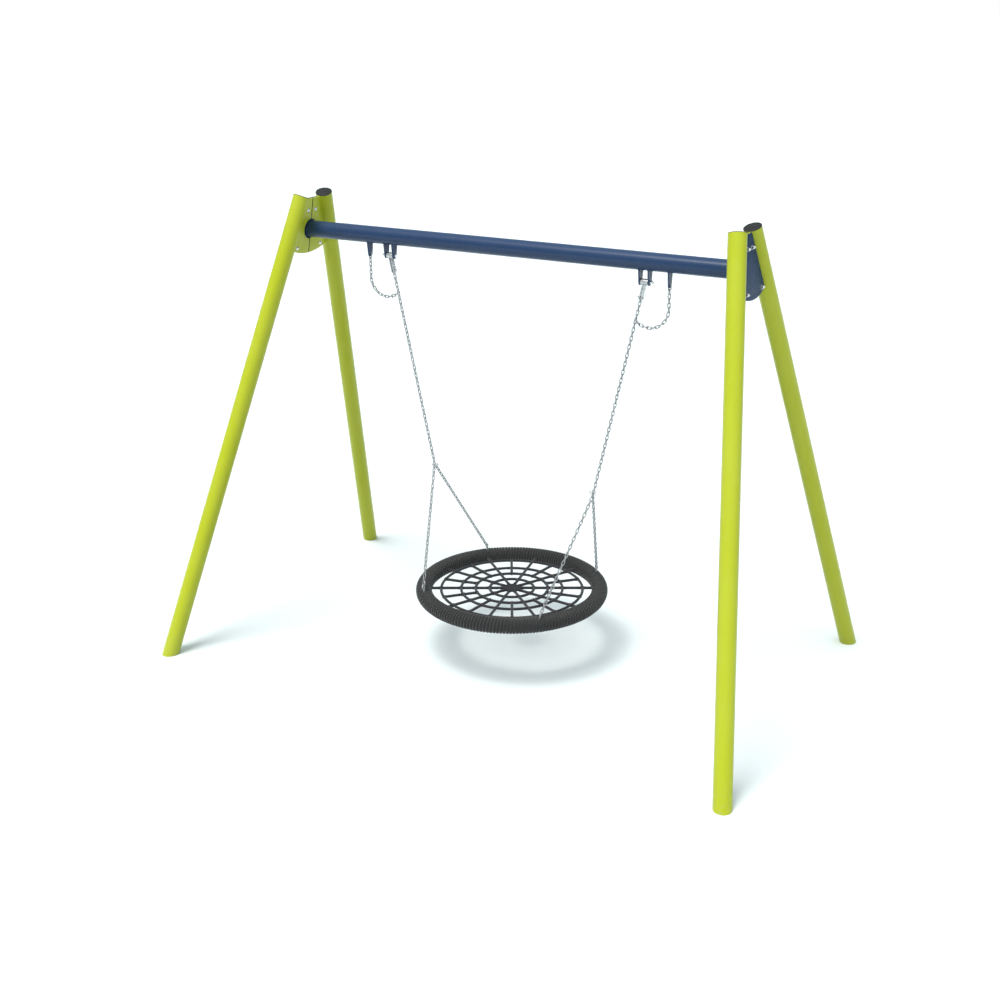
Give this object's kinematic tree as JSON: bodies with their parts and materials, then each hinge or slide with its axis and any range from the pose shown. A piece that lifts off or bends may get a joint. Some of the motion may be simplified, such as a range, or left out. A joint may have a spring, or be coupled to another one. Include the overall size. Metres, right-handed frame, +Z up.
{
  "type": "basket swing",
  "caption": "Basket swing: round rope-net seat on chains under a tubular beam between two A-frames, with bearings and safety chains.",
  "frame": {"origin": "on the ground, in the middle between the four feet", "axes": "+X along the beam to the right end, +Y to the rear, +Z up"},
  "size_m": [3.793, 2.342, 2.7746],
  "materials": {
    "leg_paint": "satin lime green powder coat",
    "beam_paint": "satin dark blue powder coat",
    "cap_plastic": "moulded dark grey",
    "zinc_steel": "galvanised",
    "bush_plastic": "natural polyamide",
    "rim_rope": "wound charcoal rope",
    "net_rope": "braided charcoal rope",
    "hub_plastic": "moulded black"
  },
  "bodies": {
    "frame": {"beam_tube": "beam_paint", "beam_end_plate_left": "beam_paint", "beam_end_plate_right": "beam_paint", "leg_left_front": "leg_paint", "leg_left_rear": "leg_paint", "leg_right_front": "leg_paint", "leg_right_rear": "leg_paint", "gusset_left_front": "leg_paint", "gusset_left_rear": "leg_paint", "gusset_right_front": "leg_paint", "gusset_right_rear": "leg_paint", "cap_left_front": "cap_plastic", "cap_left_rear": "cap_plastic", "cap_right_front": "cap_plastic", "cap_right_rear": "cap_plastic", "gusset_bolts": "zinc_steel", "gusset_nuts": "zinc_steel", "gusset_washers": "zinc_steel", "bearing_lugs_left": "beam_paint", "bearing_lugs_right": "beam_paint", "safety_lug_left": "beam_paint", "safety_lug_right": "beam_paint", "pivot_bolts": "zinc_steel", "pivot_nuts": "zinc_steel", "pivot_washers": "zinc_steel"},
    "swing": {"bearing_housing_left": "zinc_steel", "bearing_housing_right": "zinc_steel", "bushes_left": "bush_plastic", "bushes_right": "bush_plastic", "hanger_straps_left": "zinc_steel", "hanger_straps_right": "zinc_steel", "hanger_rivets": "zinc_steel", "hanger_bolts": "zinc_steel", "hanger_nuts": "zinc_steel", "main_chain_left": "zinc_steel", "main_chain_right": "zinc_steel", "safety_chain_left": "zinc_steel", "safety_chain_right": "zinc_steel", "shackle_left": "zinc_steel", "shackle_right": "zinc_steel", "shackle_bolts": "zinc_steel", "shackle_nuts": "zinc_steel"},
    "seat": {"bridle_left_front": "zinc_steel", "bridle_left_rear": "zinc_steel", "bridle_right_front": "zinc_steel", "bridle_right_rear": "zinc_steel", "rim_core": "zinc_steel", "rim_winding": "rim_rope", "rim_eyes": "zinc_steel", "net_hub": "hub_plastic", "net_spokes": "net_rope", "net_branches": "net_rope", "net_ring_1": "net_rope", "net_ring_2": "net_rope", "net_ring_3": "net_rope", "net_ring_4": "net_rope"}
  },
  "joints": [
    {"name": "swing", "type": "hinge", "parent": "frame", "child": "swing", "pos_m": [0, 0, 2.4272], "axis": [1, 0, 0], "range_deg": [-60, 60]},
    {"name": "seat_tilt", "type": "hinge", "parent": "swing", "child": "seat", "pos_m": [0, 0, 1.13722], "axis": [1, 0, 0], "range_deg": [-20, 20]}
  ]
}
